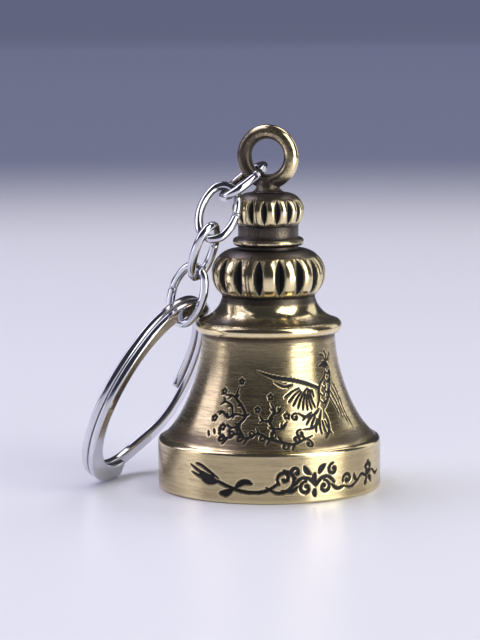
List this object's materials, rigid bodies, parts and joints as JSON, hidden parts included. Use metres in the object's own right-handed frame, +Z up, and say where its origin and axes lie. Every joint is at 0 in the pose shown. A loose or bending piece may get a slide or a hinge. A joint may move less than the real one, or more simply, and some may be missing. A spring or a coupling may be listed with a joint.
{
  "type": "key-ring bell",
  "caption": "Small turned and cast bronze bell with fluted knops, a clapper inside, and a chain with a split ring from its hanging eye.",
  "frame": {"origin": "centre of the mouth, on the plane the lip stands on", "axes": "+Z up the bell's axis towards the hanging eye; -Y faces the viewer, with the chain on the -X side"},
  "size_m": [0.0399, 0.03, 0.0486],
  "materials": {
    "antique_bronze_shell": "circumferentially brushed antique bronze with dark patina in the engraving",
    "antique_bronze_cast": "cast antique bronze, rubbed bright on the high spots, black in the flutes",
    "aged_steel": "plain dull steel hardware inside the bell",
    "clapper_brass": "turned brass, lightly tarnished",
    "bright_nickel": "polished nickel plating"
  },
  "bodies": {
    "bell": {"bell_shell": "antique_bronze_shell", "shoulder_cap": "antique_bronze_cast", "lower_knop": "antique_bronze_cast", "neck_collar": "antique_bronze_cast", "upper_knop": "antique_bronze_cast", "hanging_eye": "antique_bronze_cast", "crown_washer": "aged_steel", "crown_nut": "aged_steel"},
    "clapper_ring": {"clapper_ring": "aged_steel"},
    "clapper": {"clapper_rod": "aged_steel", "clapper_ball": "clapper_brass"},
    "chain_link_1": {"chain_link_1": "bright_nickel"},
    "chain_link_2": {"chain_link_2": "bright_nickel"},
    "chain_link_3": {"chain_link_3": "bright_nickel"},
    "chain_link_4": {"chain_link_4": "bright_nickel"},
    "split_ring": {"split_ring": "bright_nickel"}
  },
  "joints": [
    {"name": "clapper_ring_swing", "type": "hinge", "parent": "bell", "child": "clapper_ring", "pos_m": [0, 0, 0.01555], "axis": [0, 1, 0], "range_deg": [-35, 35]},
    {"name": "clapper_swing", "type": "hinge", "parent": "clapper_ring", "child": "clapper", "pos_m": [0, 0, 0.01325], "axis": [1, 0, 0], "range_deg": [-35, 35]},
    {"name": "link_1_swing", "type": "hinge", "parent": "bell", "child": "chain_link_1", "pos_m": [-0.00257, 0.00093, 0.0424], "axis": [0.5355, -0.1949, -0.8217], "range_deg": [-60, 2]},
    {"name": "link_2_swing", "type": "hinge", "parent": "chain_link_1", "child": "chain_link_2", "pos_m": [-0.0059, -0.00224, 0.03936], "axis": [0.1403, 0.9645, 0.2239], "range_deg": [0, 38]},
    {"name": "link_3_swing", "type": "hinge", "parent": "chain_link_2", "child": "chain_link_3", "pos_m": [-0.00828, -0.00695, 0.03425], "axis": [0.8095, -0.3602, -0.4635], "range_deg": [-80, 8]},
    {"name": "link_4_swing", "type": "hinge", "parent": "chain_link_3", "child": "chain_link_4", "pos_m": [-0.00979, -0.00386, 0.02863], "axis": [0.3953, 0.9091, -0.1315], "range_deg": [0, 80]},
    {"name": "split_ring_swing", "type": "hinge", "parent": "chain_link_4", "child": "split_ring", "pos_m": [-0.01218, -0.00167, 0.02234], "axis": [0.7746, -0.4726, -0.4203], "range_deg": [-8, 30]}
  ]
}
